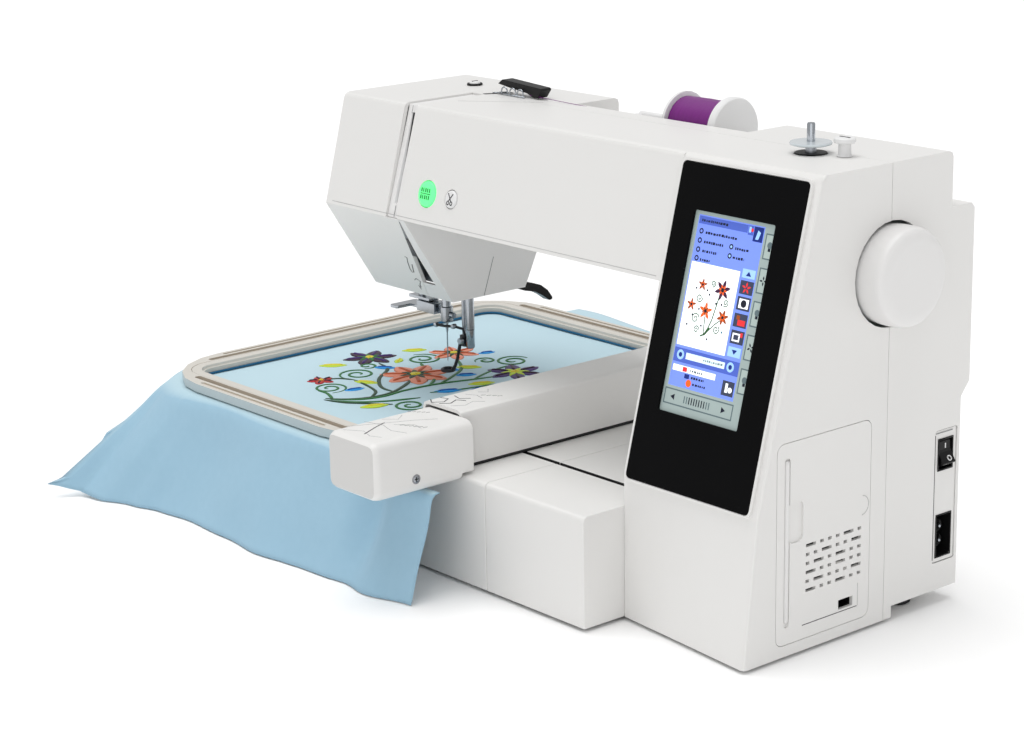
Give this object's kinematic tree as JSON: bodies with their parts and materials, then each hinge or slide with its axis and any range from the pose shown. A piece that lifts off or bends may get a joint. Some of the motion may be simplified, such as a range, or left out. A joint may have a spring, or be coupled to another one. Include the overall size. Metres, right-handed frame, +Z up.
{
  "type": "embroidery machine",
  "caption": "Free-standing embroidery machine: sewing arm with needle head, side column with touch panel and handwheel, wide bed, sliding embroidery arm and a hoop holding cloth.",
  "frame": {"origin": "centre of the bounding box at the level of the rubber feet", "axes": "+Z up, +X towards the handwheel end, +Y towards the back"},
  "size_m": [0.6352, 0.484, 0.3265],
  "materials": {
    "white_cover": "fine satin moulded plastic, warm white",
    "under_tray": "plain moulded plastic",
    "foot_rubber": "soft dark rubber",
    "metal_plate": "brushed steel",
    "clear_cover": "clear smoked plastic",
    "cast_metal": "rough cast aluminium alloy",
    "polished_steel": "polished steel",
    "shaft_steel": "ground steel",
    "panel_black": "gloss black panel",
    "screen": "lit colour screen",
    "switch_black": "black moulded plastic",
    "start_green": "translucent lit green cap",
    "button_white": "satin white cap",
    "wheel_white": "satin white plastic",
    "motor_black": "black painted steel can",
    "foot_dark": "dark metal",
    "lever_black": "black plastic",
    "spool_white": "white plastic reel",
    "thread_purple": "wound embroidery thread, silky",
    "cap_white": "white plastic",
    "winder_clear": "clear plastic disc on a steel spindle",
    "hoop_grey": "warm grey moulded plastic",
    "cloth_blue": "light blue plain weave cotton, embroidered"
  },
  "bodies": {
    "machine": {"base_pan": "under_tray", "foot_front_left": "foot_rubber", "foot_front_right": "foot_rubber", "foot_rear_left": "foot_rubber", "foot_rear_right": "foot_rubber", "bed_cover_left": "white_cover", "bed_cover_right": "white_cover", "needle_plate": "metal_plate", "bobbin_cover": "clear_cover", "bed_frame": "cast_metal", "column_front_cover": "white_cover", "column_rear_cover": "white_cover", "side_panel": "white_cover", "usb_socket": "switch_black", "inlet_plate": "switch_black", "inlet_pins": "polished_steel", "panel_glass": "panel_black", "lcd_module": "screen", "arm_front_cover": "white_cover", "arm_rear_cover": "white_cover", "spool_pin": "cap_white", "thread_channel": "white_cover", "face_plate": "white_cover", "nose_cover": "white_cover", "main_frame": "cast_metal", "main_motor": "motor_black", "thread_guide_cover": "lever_black", "winder_stop": "cap_white", "x_rail": "polished_steel"},
    "handwheel_shaft": {"handwheel": "wheel_white", "upper_shaft": "shaft_steel"},
    "motor_pulley": {"motor_pulley": "shaft_steel"},
    "lower_shaft": {"lower_shaft": "shaft_steel"},
    "hook": {"hook": "shaft_steel"},
    "bobbin": {"bobbin": "clear_cover"},
    "needle_bar": {"needle_bar": "polished_steel", "needle_clamp": "polished_steel", "needle": "polished_steel"},
    "take_up_lever": {"take_up_lever": "polished_steel"},
    "presser_bar": {"presser_bar": "polished_steel", "embroidery_foot": "foot_dark"},
    "presser_lifter": {"presser_lifter": "lever_black"},
    "needle_threader": {"needle_threader": "polished_steel"},
    "start_stop_button": {"start_stop_button": "start_green"},
    "thread_cutter_button": {"thread_cutter_button": "button_white"},
    "power_rocker": {"power_rocker": "switch_black"},
    "winder_carrier": {"winder_carrier": "switch_black"},
    "winder_spindle": {"winder_spindle": "winder_clear"},
    "spool": {"spool": "spool_white", "spool_thread": "thread_purple"},
    "spool_cap": {"spool_cap": "cap_white"},
    "embroidery_arm": {"embroidery_arm": "white_cover", "arm_end_box": "white_cover", "x_carriage": "cast_metal", "y_rail": "polished_steel"},
    "hoop": {"y_carriage": "cap_white", "hoop_outer": "hoop_grey", "hoop_inner": "hoop_grey", "cloth": "cloth_blue"},
    "hoop_clamp_lever": {"hoop_clamp_lever": "hoop_grey"}
  },
  "joints": [
    {"name": "handwheel_turn", "type": "hinge", "parent": "machine", "child": "handwheel_shaft", "pos_m": [0.2974, 0.029, 0.235], "axis": [1, 0, 0], "continuous": true},
    {"name": "motor_spin", "type": "hinge", "parent": "machine", "child": "motor_pulley", "pos_m": [0.2634, -0.01, 0.0945], "axis": [1, 0, 0], "continuous": true},
    {"name": "lower_shaft_spin", "type": "hinge", "parent": "machine", "child": "lower_shaft", "pos_m": [0.0474, -0.0085, 0.0385], "axis": [1, 0, 0], "continuous": true},
    {"name": "hook_spin", "type": "hinge", "parent": "machine", "child": "hook", "pos_m": [-0.1336, -0.0085, 0.0575], "axis": [0, 0, 1], "continuous": true},
    {"name": "bobbin_spin", "type": "hinge", "parent": "machine", "child": "bobbin", "pos_m": [-0.1336, -0.0085, 0.0625], "axis": [0, 0, 1], "continuous": true},
    {"name": "needle_bar_slide", "type": "slide", "parent": "machine", "child": "needle_bar", "axis": [0, 0, 1], "range_m": [-0.028, 0.002]},
    {"name": "take_up_swing", "type": "hinge", "parent": "machine", "child": "take_up_lever", "pos_m": [-0.1076, 0.028, 0.2735], "axis": [1, 0, 0], "range_deg": [0, 36]},
    {"name": "presser_lifter_turn", "type": "hinge", "parent": "machine", "child": "presser_lifter", "pos_m": [-0.1026, 0.035, 0.1755], "axis": [1, 0, 0], "range_deg": [-30, 0]},
    {"name": "presser_bar_slide", "type": "slide", "parent": "machine", "child": "presser_bar", "axis": [0, 0, 1], "range_m": [-0.0051, 0.0005]},
    {"name": "needle_threader_slide", "type": "slide", "parent": "machine", "child": "needle_threader", "axis": [0, 0, 1], "range_m": [-0.02, 0], "stiffness_N_per_m": 60},
    {"name": "start_stop_press", "type": "slide", "parent": "machine", "child": "start_stop_button", "axis": [0, 0.9669, -0.255], "range_m": [0, 0.0012], "stiffness_N_per_m": 400},
    {"name": "thread_cutter_press", "type": "slide", "parent": "machine", "child": "thread_cutter_button", "axis": [0, 0.9669, -0.255], "range_m": [0, 0.001], "stiffness_N_per_m": 400},
    {"name": "power_rocker_tilt", "type": "hinge", "parent": "machine", "child": "power_rocker", "pos_m": [0.2934, 0.0867, 0.1042], "axis": [0, 1, 0], "range_deg": [0, 14]},
    {"name": "winder_shift", "type": "slide", "parent": "machine", "child": "winder_carrier", "axis": [1, 0, 0], "range_m": [0, 0.0025]},
    {"name": "winder_spin", "type": "hinge", "parent": "winder_carrier", "child": "winder_spindle", "pos_m": [0.2388, 0.016, 0.3025], "axis": [0, 0, 1], "continuous": true},
    {"name": "spool_spin", "type": "hinge", "parent": "machine", "child": "spool", "pos_m": [0.0924, 0.069, 0.3005], "axis": [1, 0, 0], "continuous": true},
    {"name": "spool_cap_slide", "type": "slide", "parent": "machine", "child": "spool_cap", "axis": [1, 0, 0], "range_m": [0, 0.016]},
    {"name": "arm_travel_x", "type": "slide", "parent": "machine", "child": "embroidery_arm", "axis": [1, 0, 0], "range_m": [-0.075, 0.1]},
    {"name": "hoop_travel_y", "type": "slide", "parent": "embroidery_arm", "child": "hoop", "axis": [0, 1, 0], "range_m": [-0.144, 0.122], "deforming": ["cloth"]},
    {"name": "hoop_clamp_turn", "type": "hinge", "parent": "hoop", "child": "hoop_clamp_lever", "pos_m": [-0.0186, 0.042, 0.0945], "axis": [0, 0, 1], "range_deg": [-60, 0]}
  ],
  "couplings": [
    {"joint": "motor_spin", "follows": "handwheel_turn", "ratio": 3.25},
    {"joint": "lower_shaft_spin", "follows": "handwheel_turn", "ratio": 1},
    {"joint": "hook_spin", "follows": "handwheel_turn", "ratio": 2},
    {"joint": "presser_bar_slide", "follows": "presser_lifter_turn", "m_per_rad": 0.009549}
  ]
}
